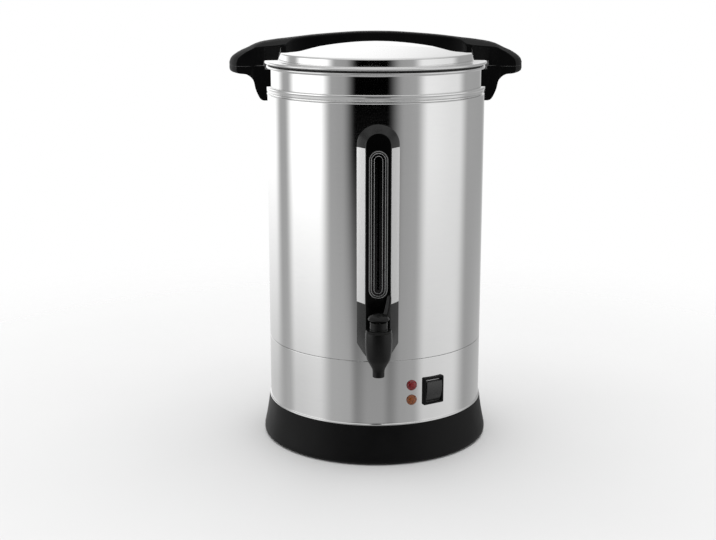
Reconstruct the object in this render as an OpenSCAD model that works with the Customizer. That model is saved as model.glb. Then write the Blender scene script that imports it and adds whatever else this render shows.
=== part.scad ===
// Coffee urn, built up from its separate pieces.
// Frame: Z is the body's own axis, z = 0 is the surface the urn stands on,
// the tap and the sight gauge face -Y and +X is to the right seen from the front.

/* [Body] */
// Outside radius of the steel wall
body_r = 125; // [122:0.5:128]
// Thickness of the sheet steel
wall_t = 0.8; // [0.7:0.05:0.9]
// Height of the seam between the skirt and the tall shell
seam_z = 120.3; // [119:0.1:122]
// Height of the pot's rolled rim
rim_z = 435; // [430:1:450]

/* [Base] */
// Height at which the steel skirt stands on the base
base_h = 44.9; // [43:0.1:47]
// Widest radius of the flared base beyond the steel wall
base_flare = 8; // [6:0.5:10]
// Thickness of the rubber foot ring
foot_h = 2; // [1.6:0.1:2.4]

/* [Tap] */
// Height of the tap's shank
tap_z = 150; // [148:0.5:152]
// Distance from the steel wall to the tap's upright axis
tap_reach = 38; // [36:0.5:42]
// Lift of the valve when the lever is pulled over
valve_lift = 3.7; // [3.5:0.1:3.8]

/* [Percolator] */
// Radius of the coffee basket
basket_r = 62; // [56:1:66]
// Height of the basket's floor when it hangs on the stem
basket_z = 335.6; // [330:0.2:340]

/* [Switch and lamps] */
// Angle of the lamps to the right of the front
lamp_az = 17.9; // [16:0.1:20]
// Angle of the switch to the right of the front
switch_az = 30.2; // [29:0.1:34]
// Height of the middle of the switch
switch_z = 81.3; // [80:0.1:84]

/* [Hidden] */
$fn = 96;

ro = body_r;                 // outside of the steel wall
ri = body_r - wall_t;        // inside of the steel wall
tank_r = body_r - 8;         // outside of the tank
neck_r = body_r - 4;         // outside of the tank's neck
shell_top = rim_z - 30.4;    // top of the tall shell
floor_z = 123.2;             // underside of the tank's floor
tap_y = -(ro + tap_reach);   // the tap's upright axis
gy = -(ro + 12);             // front face of the gauge housing
gw = 22.9;                   // half width of the housing at the wall
gf = 13.6;                   // half width of its front face
gyb = -sqrt(ro * ro - gw * gw);
arch_z = rim_z - 73.7;       // centre of the housing's arched top
tube_y = -(ro + 5.2);        // axis of the sight tube
lid_z = rim_z + 5.6;         // top of the lid's flange

steel = [0.80, 0.80, 0.80];
satin = [0.72, 0.72, 0.70];
black = [0.08, 0.08, 0.08];
rubber = [0.16, 0.16, 0.16];
brass = [0.78, 0.62, 0.30];
silicone = [0.86, 0.84, 0.78];

// A ring of rectangular section, for use inside rotate_extrude
module ring2d(r1, r2, z1, z2) translate([r1, z1]) square([r2 - r1, z2 - z1]);

// A solid ring about Z
module ring(r1, r2, z1, z2) rotate_extrude() ring2d(r1, r2, z1, z2);

// A cylinder along -Y that starts at y = y0 and ends at y = y1 (y1 < y0)
module along_y(x, z, y0, y1, r, n = 96)
    translate([x, y0, z]) rotate([90, 0, 0]) cylinder(h = y0 - y1, r = r, $fn = n);

// Turns a piece made for the front (-Y) round to an angle to the right
module at_az(a) rotate([0, 0, a]) children();

// A window outline with round ends, as a solid that runs along Y
module stadium(hw, z1, z2, y0, y1)
    translate([0, y0, 0]) rotate([90, 0, 0]) linear_extrude(y0 - y1)
        union() {
            translate([-hw, z1 + hw]) square([2 * hw, z2 - z1 - 2 * hw]);
            translate([0, z1 + hw]) circle(r = hw);
            translate([0, z2 - hw]) circle(r = hw);
        }

// The housing's outline seen from the front: a narrower foot and an arched top
function arch(hw, foot, z1) = concat(
    [[-foot, 130], [foot, 130], [hw, z1]],
    [for (a = [0:10:180]) [hw * cos(a), arch_z + hw * sin(a)]],
    [[-hw, z1]]);

// A slab with that outline
module slab(hw, foot, z1, y0, y1)
    translate([0, y0, 0]) rotate([90, 0, 0]) linear_extrude(y0 - y1) polygon(arch(hw, foot, z1));

// ---- base ----

module foot_ring() color(rubber) ring(115, 129, 0, foot_h);

module base_ring() color(black)
    difference() {
        rotate_extrude() polygon([
            [104, foot_h], [ro + base_flare - 1.2, foot_h], [ro + base_flare - 0.3, foot_h + 0.8],
            [ro + base_flare, foot_h + 2.6], [ro + base_flare - 0.4, 8], [ro + base_flare - 2.2, 17],
            [ro + 3.6, 29], [ro + 2.1, 39], [ro + 1.5, base_h],
            [ri - 0.4, base_h], [ri - 0.4, base_h + 7], [ri - 2.4, base_h + 7], [ri - 2.4, base_h - 3],
            [ri + 0.2, base_h - 5.5], [ro + 1.2, 29], [ro + base_flare - 4.8, 17], [ro + base_flare - 3.2, 8],
            [ro + base_flare - 3.0, foot_h + 2.6], [104, foot_h + 2.6]
        ]);
        for (a = [45:90:315]) rotate([0, 0, a]) translate([110, 0, 0]) cylinder(h = 8, r = 1.9);
    }

module base_plate() color(satin)
    difference() {
        translate([0, 0, foot_h + 2.6]) cylinder(h = 1.2, r = 127);
        for (a = [45:90:315]) rotate([0, 0, a]) translate([110, 0, 0]) cylinder(h = 8, r = 1.75);
        for (a = [90:120:330]) rotate([0, 0, a]) translate([90, 0, 0]) cylinder(h = 8, r = 2.6);
        for (a = [0:30:330]) rotate([0, 0, a + 15]) translate([40, -2.5, 0]) cube([32, 5, 8]);
    }

module base_screws() color(steel)
    for (a = [45:90:315]) rotate([0, 0, a]) translate([110, 0, 0]) difference() {
        union() {
            translate([0, 0, 0.4]) cylinder(h = foot_h - 0.4, r = 3.4);
            translate([0, 0, foot_h]) cylinder(h = 8, r = 1.75);
        }
        for (t = [0, 90]) rotate([0, 0, t]) translate([-2, -0.4, 0]) cube([4, 0.8, 1.3]);
    }

module tie_rods() color(steel)
    for (a = [90:120:330]) rotate([0, 0, a]) translate([90, 0, 0]) {
        translate([0, 0, 0.7]) cylinder(h = floor_z - 2, r = 2.5);
        translate([0, 0, floor_z - 2]) cylinder(h = 2, r = 7);
    }

module tie_nuts() color(steel)
    for (a = [90:120:330]) rotate([0, 0, a]) translate([90, 0, 0])
        difference() {
            translate([0, 0, foot_h - 1]) cylinder(h = 3.6, r = 4.6, $fn = 6);
            translate([0, 0, -1]) cylinder(h = 12, r = 2.5);
        }

// ---- steel walls ----

module lower_skirt() color(steel)
    difference() {
        rotate_extrude() union() {
            ring2d(ri, ro, base_h, seam_z - 0.3);
            ring2d(ri - wall_t - 0.3, ri - 0.3, seam_z - 5, seam_z + 8);
            ring2d(ri - 0.5, ri + 0.1, seam_z - 5, seam_z - 1.5);
            translate([ro + 0.4, base_h + 0.9]) circle(r = 0.9, $fn = 32);
        }
        at_az(lamp_az) {
            along_y(0, switch_z + 9.2, -100, -140, 5.05);
            along_y(0, switch_z - 8, -100, -140, 5.05);
        }
        at_az(switch_az) translate([-11.7, -140, switch_z - 13.9]) cube([23.4, 40, 27.8]);
        along_y(0, 70, 140, 100, 8.9);
    }

module outer_shell() color(steel)
    difference() {
        rotate_extrude() union() {
            ring2d(ri, ro, seam_z, shell_top);
            ring2d(ri - 2.6, ri + 0.1, shell_top - wall_t, shell_top);
        }
        along_y(0, tap_z, -110, -140, 8.3);
        along_y(0, arch_z + 6, -110, -140, 2.1);
    }

module rim_ring() color(steel)
    rotate_extrude() polygon([
        [neck_r + 0.1, shell_top], [ro - 2.5, shell_top], [ro - 2.5, shell_top + 1.5], [ro - 0.6, shell_top + 2.6],
        [ro - 0.2, shell_top + 5.4], [ro + 0.4, shell_top + 6.6], [ro + 0.3, shell_top + 7.9], [ro - 0.8, shell_top + 8.6],
        [neck_r + 0.1, shell_top + 8.6]
    ]);

// The tank's wall with its narrower neck and rolled rim, welded on to the floor
module tank_wall() color(steel)
    difference() {
        rotate_extrude() union() {
            polygon([
                [tank_r, floor_z + 5], [tank_r, rim_z - 33], [neck_r, rim_z - 27], [neck_r, rim_z - 0.8],
                [ro - 1.6, rim_z - 0.8], [ro - 1.6, rim_z], [neck_r - wall_t, rim_z], [neck_r - wall_t, rim_z - 26.7],
                [tank_r - wall_t, rim_z - 32.7], [tank_r - wall_t, floor_z + 5]
            ]);
            translate([ro - 1.6, rim_z]) circle(r = 1.6, $fn = 32);
        }
        along_y(0, tap_z, -100, -140, 8.3);
        for (s = [-1, 1]) for (y = [-14, 14])
            translate([s * (ro - 9), y, rim_z - 12]) rotate([0, s * 90, 0]) cylinder(h = 12, r = 2.2);
    }

// The tank's floor with the pump's well, and the studs under it for the heater and the thermostats
module tank_floor() color(steel) {
    rotate_extrude() polygon([
        [0, floor_z - 20], [26, floor_z - 20], [26, floor_z], [tank_r - 4, floor_z], [tank_r, floor_z + 4],
        [tank_r, floor_z + 5], [tank_r - wall_t, floor_z + 5], [tank_r - wall_t, floor_z + 4.3],
        [tank_r - 4.3, floor_z + wall_t], [26 - wall_t, floor_z + wall_t], [26 - wall_t, floor_z - 20 + wall_t],
        [0, floor_z - 20 + wall_t]
    ]);
    for (s = [-1, 1]) translate([s * 44, 0, floor_z - 28.5]) cylinder(h = 28.7, r = 2);
    for (s = [-1, 1]) for (t = [-1, 1])
        translate([s * 62 + t * 15, 36, floor_z - 9]) cylinder(h = 9.2, r = 1.75);
}

// ---- heating and control ----

module pump_heater() color(satin) {
    rotate_extrude() polygon([
        [0, floor_z - 26], [34, floor_z - 26], [36, floor_z - 24], [36, floor_z - 5], [26.2, floor_z - 5],
        [26.2, floor_z - 20.2], [0, floor_z - 20.2]
    ]);
    for (s = [-1, 1]) translate([s * 14 - 3.15, -8.4, floor_z - 36]) cube([6.3, 0.8, 10.2]);
}

module heater_bar() color(satin)
    difference() {
        translate([-52, -6, floor_z - 27.4]) cube([104, 12, 1.3]);
        for (s = [-1, 1]) translate([s * 44, 0, floor_z - 30]) cylinder(h = 6, r = 2);
    }

module heater_nuts() color(steel)
    for (s = [-1, 1]) translate([s * 44, 0, floor_z - 30.6])
        difference() {
            cylinder(h = 3.2, r = 4, $fn = 6);
            translate([0, 0, -1]) cylinder(h = 6, r = 2);
        }

module warm_heater_band() color(satin)
    difference() {
        ring(tank_r + 0.1, tank_r + 1.9, 128, 136.8);
        translate([-4, 100, 120]) cube([8, 40, 30]);
    }

module thermostat(x) color(satin) {
    translate([x, 36, floor_z - 8]) cylinder(h = 7.9, r = 10.5);
    difference() {
        translate([x - 19, 32, floor_z - 5]) cube([38, 8, 1.4]);
        for (t = [-1, 1]) translate([x + t * 15, 36, floor_z - 8]) cylinder(h = 6, r = 1.75);
    }
    for (t = [-1, 1]) translate([x + t * 5 - 0.4, 33, floor_z - 16]) cube([0.8, 6.3, 8.2]);
}
module boil_thermostat() thermostat(-62);
module warm_thermostat() thermostat(62);

module thermostat_nuts() color(steel)
    for (s = [-1, 1]) for (t = [-1, 1]) translate([s * 62 + t * 15, 36, floor_z - 7.6])
        difference() {
            cylinder(h = 2.6, r = 3.2, $fn = 6);
            translate([0, 0, -1]) cylinder(h = 6, r = 1.75);
        }

module thermal_fuse() color(satin)
    translate([-7, 66, floor_z - 2.4]) rotate([0, 90, 0]) cylinder(h = 14, r = 2);

module fuse_clip() color(steel)
    difference() {
        translate([-2.5, 61.5, floor_z - 5.2]) cube([5, 9, 5.1]);
        translate([-7, 66, floor_z - 2.4]) rotate([0, 90, 0]) cylinder(h = 14, r = 2.03);
    }

module terminal_block() color(silicone)
    difference() {
        translate([-18, 62, foot_h + 3.8]) cube([36, 16, 12]);
        for (x = [-12, 0, 12]) translate([x, 70, foot_h + 10]) cylinder(h = 10, r = 2.4);
    }

// Points along a smooth curve through hand-placed points
function cr(p0, p1, p2, p3, t) =
    0.5 * (2 * p1 + (p2 - p0) * t + (2 * p0 - 5 * p1 + 4 * p2 - p3) * t * t + (3 * p1 - p0 - 3 * p2 + p3) * t * t * t);
function route(p, n) = [
    for (i = [0:len(p) - 2]) for (k = [0:n - 1])
        cr(p[max(i - 1, 0)], p[i], p[i + 1], p[min(i + 2, len(p) - 1)], k / n),
    p[len(p) - 1]
];
function unit(v) = v / norm(v);
function side(v) = abs(v[2]) < 0.9 ? unit(cross(v, [0, 0, 1])) : unit(cross(v, [1, 0, 0]));
function turn(s, v) = unit(s - (s * v) * v);
// Carries the side vector from ring to ring so that the tube doesn't twist
function sides(p, i, s) = i >= len(p) ? [] :
    let (v = unit(p[min(i + 1, len(p) - 1)] - p[max(i - 1, 0)]), u = turn(s, v)) concat([[v, u]], sides(p, i + 1, u));

module tube(p, r, m = 8) {
    f = sides(p, 0, side(unit(p[1] - p[0])));
    pts = [for (i = [0:len(p) - 1]) for (k = [0:m - 1])
        p[i] + r * (cos(360 * k / m) * f[i][1] + sin(360 * k / m) * cross(f[i][0], f[i][1]))];
    faces = concat(
        [[for (k = [0:m - 1]) k]],
        [[for (k = [m - 1:-1:0]) (len(p) - 1) * m + k]],
        [for (i = [0:len(p) - 2]) for (k = [0:m - 1])
            [i * m + k, (i + 1) * m + k, (i + 1) * m + (k + 1) % m]],
        [for (i = [0:len(p) - 2]) for (k = [0:m - 1])
            [i * m + k, (i + 1) * m + (k + 1) % m, i * m + (k + 1) % m]]
    );
    polyhedron(points = pts, faces = faces);
}

// Wire routes inside the base, from piece to piece
wires = [
    [[-12, 70, 17.9], [-16, 62, 40], [-20, 30, 64], [-17, 2, 78], [-14, -6.5, 86.6]],
    [[12, 70, 17.9], [22, 62, 40], [24, 30, 62], [18, 0, 76], [14, -6.5, 86.6]],
    [[-6, 61.2, 10], [-24, 52, 24], [-52, 44, 60], [-64, 40, 90], [-67, 37.5, 106.6]],
    [[6, 61.2, 10], [24, 50, 22], [52, 40, 56], [64, 38, 90], [67, 37.5, 106.6]],
    [[18.7, 66, 9], [50, 44, 16], [64, -10, 28], [47, -56, 58], [48.3, -83, 81]],
    [[18.7, 74, 12], [58, 50, 24], [76, -6, 40], [61, -50, 64], [53.5, -80, 81]],
    [[31.2, -96.6, 90.5], [27, -86, 88], [27, -86, 76], [31.2, -96.6, 73.3]],
    [[-12, 78.8, 12], [-30, 96, 34], [-34, 108, 70], [-24, 118.2, 100], [-10, 120.2, 118], [-2, 120.6, 133]]
];
module wiring() color([0.75, 0.1, 0.08])
    for (w = wires) tube(route(w, 4), 1.1);

module cord_gland() color(black)
    difference() {
        union() {
            along_y(0, 70, ro, 108, 8.8);
            along_y(0, 70, ro + 4, ro, 11.5);
            translate([0, ro + 10, 70]) rotate([90, 0, 0]) cylinder(h = 6, r1 = 6.6, r2 = 8.6);
        }
        along_y(0, 70, 150, 100, 4);
    }

module gland_nut() color(black)
    difference() {
        along_y(0, 70, ri - 1.2, ri - 6.2, 13, 6);
        along_y(0, 70, 150, 100, 8.8);
    }

// ---- sight gauge ----

module gauge_housing() color(black)
    difference() {
        hull() {
            slab(gw, 16.7, 141, -ro + 14, gyb);
            slab(gf, gf - 0.4, 131, gy + 0.05, gy);
        }
        cylinder(h = 500, r = ro + 0.1, $fn = 360);
        // stepped window
        stadium(10.4, 194.1, arch_z - 4.4, gy + 0.8, gy - 2);
        stadium(7.65, 197.8, arch_z - 8.3, gy + 1.3, gy - 2);
        stadium(4.4, 200.9, arch_z - 12.6, -130, gy - 2);
        // hollow behind the face
        translate([-9.8, gy + 1.9, 137.5]) cube([19.6, 30, arch_z + 0.2 - 137.5]);
        along_y(0, tap_z, -120, -145, 8.3);
        along_y(0, arch_z + 6, -120, -ro - 8, 2);
        // rebates for the metal trims
        for (s = [-1, 1]) trim_blank(s, -1.0, 1.0, 188.5, rim_z - 76.2);
    }

// A strip along the sloping side, from a depth d1 to d2 below its surface
module trim_blank(s, d1, d2, z1, z2) {
    l = sqrt((gw - gf) * (gw - gf) + (gyb - gy) * (gyb - gy));
    nx = -(gyb - gy) / l;
    ny = (gw - gf) / l;
    // the strip begins a little behind the front edge
    fx = gf + (gw - gf) * 0.03;
    fy = gy + (gyb - gy) * 0.03;
    translate([0, 0, z1]) linear_extrude(z2 - z1)
        polygon([
            [s * (fx + nx * d1), fy + ny * d1], [s * (gw + nx * d1), gyb + ny * d1],
            [s * (gw + nx * d2), gyb + ny * d2], [s * (fx + nx * d2), fy + ny * d2]
        ]);
}

module gauge_trim(s) color(satin)
    difference() {
        trim_blank(s, -0.4, 1.0, 188.5, rim_z - 76.2);
        cylinder(h = 500, r = ro + 0.1, $fn = 360);
    }
module gauge_trim_left() gauge_trim(-1);
module gauge_trim_right() gauge_trim(1);

module gauge_lens() color([0.75, 0.8, 0.82, 0.5])
    stadium(10.2, 194.3, arch_z - 4.6, gy + 0.8, gy - 0.3);

module gauge_backing() color(black)
    difference() {
        translate([-9.6, -ro - 1.6, 177]) cube([19.2, 4, arch_z - 9.8 - 177]);
        cylinder(h = 500, r = ro + 0.1, $fn = 360);
    }

module gauge_tube() color([0.8, 0.85, 0.88, 0.4])
    translate([0, tube_y, 162.5]) difference() {
        cylinder(h = arch_z - 4.3 - 162.5, r = 3.2);
        translate([0, 0, -1]) cylinder(h = 260, r = 2.2);
    }

module gauge_tee() color(black)
    difference() {
        translate([-9.6, gy + 2.1, 138]) cube([19.2, 20, 38]);
        cylinder(h = 500, r = ro + 0.1, $fn = 360);
        along_y(0, tap_z, -110, -145, 8.05);
        translate([0, tube_y, 162.5]) cylinder(h = 20, r = 4.6);
        translate([0, tube_y, 150]) cylinder(h = 20, r = 1.8);
    }

module gauge_seal_lower() color(rubber)
    translate([0, tube_y, 164]) difference() {
        cylinder(h = 11.5, r = 4.6);
        translate([0, 0, -1]) cylinder(h = 20, r = 3.2);
    }

module gauge_seal_upper() color(rubber)
    difference() {
        translate([-9.6, gy + 2.1, arch_z - 9.6]) cube([19.2, 20, 9.6]);
        cylinder(h = 500, r = ro + 0.1, $fn = 360);
        translate([0, tube_y, arch_z - 20]) cylinder(h = 15.7, r = 3.2);
        translate([0, tube_y, arch_z - 5]) cylinder(h = 10, r = 0.8);
    }

module gauge_screw() color(steel) {
    along_y(0, arch_z + 6, -ri + 2.4, -ri + 0.1, 3.6);
    along_y(0, arch_z + 6, -ri + 0.2, -ro - 7.6, 2);
}

// ---- tap ----

module tap_body() color(black)
    difference() {
        union() {
            translate([0, tap_y, 0]) rotate_extrude() polygon([
                [0, 114.9], [6.1, 114.9], [6.5, 115.3], [6.5, 121.3], [7, 123.6], [8.2, 126.4], [10.2, 130], [12.3, 133.8],
                [13.4, 137.7], [14.1, 142.6], [14.5, 149], [14.7, 155.3], [14.5, 163.5], [14.1, 165.6], [0, 165.6]
            ]);
            along_y(0, tap_z, -104, tap_y, 8);
            along_y(0, tap_z, gy - 0.8, gy - 3.4, 12.5);
        }
        translate([0, tap_y, 0]) rotate_extrude() polygon([
            [0, 114], [4.5, 114], [4.5, 134], [5, 137.5], [10, 141.2], [10, 170], [0, 170]
        ]);
        along_y(0, tap_z, -90, tap_y, 5);
        translate([0, tube_y, tap_z]) cylinder(h = 12, r = 1.8);
    }

module tap_bonnet() color(black)
    translate([0, tap_y, 0]) rotate_extrude() polygon([
        [3.06, 172], [3.06, 176.5], [8.9, 176.5], [9.4, 175.9], [9.4, 167.2], [13.4, 167.2], [14.0, 166.6], [14.0, 165.6],
        [9.95, 165.6], [9.95, 152.3 + valve_lift], [7.2, 152.3 + valve_lift], [7.2, 172]
    ]);

module tap_front_washer() color(rubber)
    difference() {
        along_y(0, tap_z, gy, gy - 0.8, 12.2);
        along_y(0, tap_z, -100, -150, 8);
    }

module tap_spacer() color(rubber)
    difference() {
        intersection() {
            along_y(0, tap_z, -110, -130, 12.5);
            cylinder(h = 300, r = ri - 0.05, $fn = 360);
        }
        cylinder(h = 300, r = tank_r + 0.05, $fn = 360);
        along_y(0, tap_z, -100, -150, 8);
    }

module tap_seal_inner() color(rubber)
    difference() {
        along_y(0, tap_z, -tank_r + 5, -tank_r + 1.6, 13);
        along_y(0, tap_z, -100, -150, 8);
    }

module tap_nut() color(satin)
    difference() {
        along_y(0, tap_z, -tank_r + 11, -tank_r + 5, 14.5, 6);
        along_y(0, tap_z, -90, -150, 8);
    }

spring_n = 6;
module tap_spring() color(steel)
    translate([0, tap_y, 0])
        tube([for (i = [0:12 * spring_n])
            [5.2 * cos(30 * i), 5.2 * sin(30 * i), 152.6 + 18.4 * i / (12 * spring_n)]], 0.6);

pin_z = 179.7;
lever_a = 30;                // direction in which the lever leans, from +X towards +Y

module valve_stem() color(satin)
    translate([0, tap_y, 0]) difference() {
        rotate_extrude() polygon([
            [0, 143.5], [3, 143.5], [3, 150.2], [6.4, 150.2], [6.4, 151.6], [3, 151.6], [3, pin_z + 1.2], [2.2, pin_z + 2],
            [0, pin_z + 2]
        ]);
        rotate([0, 0, lever_a]) translate([0, 0, pin_z]) rotate([90, 0, 0])
            translate([0, 0, -10]) cylinder(h = 20, r = 1.2);
    }

module valve_cup() color(silicone)
    translate([0, tap_y, 0]) rotate_extrude() polygon([
        [0, 139.6], [5.2, 139.6], [9.4, 143.4], [9.4, 146.4], [5.5, 150.2], [3, 150.2], [3, 143.5], [0, 143.5]
    ]);

module lever_pin() color(steel)
    translate([0, tap_y, pin_z]) rotate([0, 0, lever_a]) rotate([90, 0, 0])
        translate([0, 0, -9.4]) cylinder(h = 18.8, r = 1.2);

module tap_lever() color(black)
    translate([0, tap_y, 0]) rotate([0, 0, lever_a]) difference() {
        union() {
            rotate_extrude() polygon([
                [0, 176.8], [6, 176.8], [11, 178.6], [11.6, 179.3], [11.3, 180.3], [9, 182.8], [5, 184.6], [0, 185.2]
            ]);
            // the paddle, which tapers to a blunt tip
            intersection() {
                rotate([90, 0, 0]) linear_extrude(10, center = true) polygon([
                    [6, 179.6], [11.2, 179.4], [12.4, 184], [13.6, 192], [14.6, 200], [14.6, 202.6], [13.4, 203.8],
                    [12.2, 202.6], [10.4, 194], [9, 187], [6, 183.8]
                ]);
                rotate([90, 0, 90]) linear_extrude(30) polygon([
                    [-4.1, 176], [4.1, 176], [4.1, 185], [2.6, 202.4], [1.4, 204.2], [-1.4, 204.2], [-2.6, 202.4], [-4.1, 185]
                ]);
            }
        }
        translate([-6.6, -3.4, 175.5]) cube([13.2, 6.8, 7.6]);
        translate([0, 0, pin_z]) rotate([90, 0, 0]) translate([0, 0, -20]) cylinder(h = 40, r = 1.26);
    }

// ---- side handles ----

// Outer edge of a handle, seen from above, from back to front on the right-hand side
ear = [for (a = [-34.5:3:34.5]) [107 + 60 * cos(a), 60 * sin(a)]];
module handle_plan() polygon(concat(
    [[90, -24], [126, -24.5], [132, -26], [138, -29.5], [144, -34]], ear,
    [[144, 34], [138, 29.5], [132, 26], [126, 24.5], [90, 24]]));

// The lid handle's whole outline: a narrow bow between two wide ends
bow_half = concat(
    [[0, -14], [60, -14], [100, -15], [118, -16.5], [130, -21], [138, -27.5], [144, -34]],
    ear, [[144, 34], [138, 27.5], [130, 21], [118, 16.5], [100, 15], [60, 14], [0, 14]]);
module bow_plan() polygon(concat(
    bow_half, [for (i = [len(bow_half) - 2:-1:1]) [-bow_half[i][0], bow_half[i][1]]]));

// The shoulder that widens the lid handle where it meets the lid and runs into the grip
module shoulder(s) intersection() {
    translate([0, 34.5, rim_z]) rotate([90, 0, 0]) linear_extrude(69) polygon([
        [s * 84, 17.8], [s * 94, 16.4], [s * 114, 16.4], [s * 142, 2.1], [s * 146, 2.1], [s * 146, 20.4],
        [s * 138, 23.7], [s * 130, 24.3], [s * 118, 24.7], [s * 108, 25.7], [s * 98, 26.6], [s * 91, 26], [s * 84, 24]
    ]);
    translate([0, 0, rim_z]) linear_extrude(60) polygon([
        [s * 80, -13.5], [s * 86, -15.5], [s * 92, -19], [s * 97, -23], [s * 102, -28.5], [s * 106, -33], [s * 112, -33.9], [s * 150, -33.9],
        [s * 150, 33.9], [s * 112, 33.9], [s * 106, 33], [s * 102, 28.5], [s * 97, 23], [s * 92, 19], [s * 86, 15.5], [s * 80, 13.5]
    ]);
}

module side_handle(s) color(black)
    difference() {
        intersection() {
            translate([0, 34.5, rim_z]) rotate([90, 0, 0]) linear_extrude(69) polygon([
                [s * 115, -37.2], [s * 128.6, -37.2], [s * 131.8, -33.8], [s * 134.6, -27.6], [s * 136.2, -22.6],
                [s * 137.5, -15.6], [s * 139.2, -12.2], [s * 141.6, -9.2], [s * 146, -7.2], [s * 152, -6.6],
                [s * 163, -5.9], [s * 166.4, -4.2], [s * 167, -1.8], [s * 167, 1.5], [s * 115, 1.5]
            ]);
            translate([0, 0, rim_z - 50]) linear_extrude(60)
                mirror([s < 0 ? 1 : 0, 0]) handle_plan();
        }
        cylinder(h = shell_top + 0.2, r = ro + 0.1);
        cylinder(h = shell_top + 9, r = ro + 0.6);
        cylinder(h = rim_z - 2.2, r = neck_r + 0.1);
        translate([0, 0, rim_z - 2.4]) cylinder(h = 20, r = ro + 2.6);
        for (y = [-14, 14]) translate([s * 110, y, rim_z - 12]) rotate([0, s * 90, 0]) cylinder(h = 22, r = 2);
    }
module side_handle_left() side_handle(-1);
module side_handle_right() side_handle(1);

module handle_screws() color(steel)
    for (s = [-1, 1]) for (y = [-14, 14]) translate([s * (neck_r - 5.2), y, rim_z - 12]) rotate([0, s * 90, 0]) {
        cylinder(h = 2.3, r = 3.5);
        translate([0, 0, 2.2]) cylinder(h = 13.6, r = 2);
    }

// ---- lamps and switch ----

module lamp(z) at_az(lamp_az) translate([0, -ro, z]) rotate([90, 0, 0]) {
    rotate_extrude() polygon([
        [0, 0], [6, 0], [6, 1.2], [5.5, 2.1], [4.1, 2.8], [2.1, 3.3], [0, 3.4]
    ]);
    translate([0, 0, -15]) cylinder(h = 15.1, r = 5);
    for (s = [-1, 1]) translate([s * 2.4 - 0.4, -1.4, -21]) cube([0.8, 2.8, 6.1]);
}
module red_lamp() color([0.75, 0.05, 0.04]) lamp(switch_z + 9.2);
module amber_lamp() color([0.85, 0.35, 0.05]) lamp(switch_z - 8);

module lamp_clips() color(steel)
    at_az(lamp_az) for (z = [switch_z + 9.2, switch_z - 8]) difference() {
        along_y(0, z, -ri + 1.7, -ri + 0.5, 7.4);
        along_y(0, z, -100, -140, 5);
    }

module switch_housing() color(black)
    at_az(switch_az) difference() {
        union() {
            translate([-13.4, -ro - 2.6, switch_z - 15.9]) cube([26.8, 2.9, 31.8]);
            translate([-11.5, -ro - 1, switch_z - 13.7]) cube([23, 20, 27.4]);
            for (s = [-1, 0, 1]) translate([s * 6 - 0.4, -ro + 19, switch_z - 3.15]) cube([0.8, 8, 6.3]);
        }
        translate([-10.65, -ro - 5, switch_z - 13.2]) cube([21.3, 18, 26.4]);
        translate([-11.2, -ro + 5, switch_z]) rotate([0, 90, 0]) cylinder(h = 22.4, r = 1.56);
        // behind the bezel the wall curves away
        difference() {
            translate([-20, -ro, switch_z - 20]) cube([40, 0.5, 40]);
            translate([-11.5, -ro - 1, switch_z - 13.7]) cube([23, 20, 27.4]);
        }
    }

module switch_rocker() color([0.05, 0.05, 0.05])
    at_az(switch_az) translate([0, -ro + 5, switch_z]) rotate([8, 0, 0]) {
        rotate([0, 0, -90]) rotate([90, 0, 0]) translate([0, 0, -10.2]) linear_extrude(20.4)
            polygon([[6.7, 12.1], [8.6, 0], [6.7, -12.1], [1.5, -12.2], [-3, -5], [-3, 5], [1.5, 12.2]]);
        translate([-11.1, 0, 0]) rotate([0, 90, 0]) cylinder(h = 22.2, r = 1.5);
    }

// ---- lid ----

module lid_gasket() color(rubber)
    rotate_extrude() union() {
        ring2d(neck_r - 3.7, neck_r - 1.2, rim_z - 3, rim_z + 3);
        ring2d(neck_r - 3.7, neck_r + 2.4, rim_z + 2, rim_z + 4.3);
    }

module lid_shell() color(steel)
    difference() {
        rotate_extrude() polygon(concat(
            [
                [0, lid_z + 12.4], [40, lid_z + 12.1], [75, lid_z + 11.4], [100, lid_z + 10.6], [109, lid_z + 10.2],
                [111, lid_z + 9.6], [111.5, lid_z + 8.6], [111.5, lid_z + 0.8], [112.3, lid_z]
            ],
            // the rolled edge
            [for (a = [154:-15:-171]) [ro + 0.5 + 1.4 * cos(a), lid_z - 0.6 + 1.4 * sin(a)]],
            [
                [neck_r - 4, lid_z - 0.8], [neck_r - 4, rim_z - 4], [neck_r - 4.8, rim_z - 4], [neck_r - 4.8, lid_z - 0.8],
                [112, lid_z - 0.8], [110.7, lid_z + 0.5], [110.7, lid_z + 8.4],
                [110.4, lid_z + 9], [108.8, lid_z + 9.4], [100, lid_z + 9.8], [75, lid_z + 10.6],
                [40, lid_z + 11.3], [0, lid_z + 11.6]
            ]
        ));
        for (s = [-1, 1]) translate([s * 101, 0, lid_z]) cylinder(h = 30, r = 2.2);
    }

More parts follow.
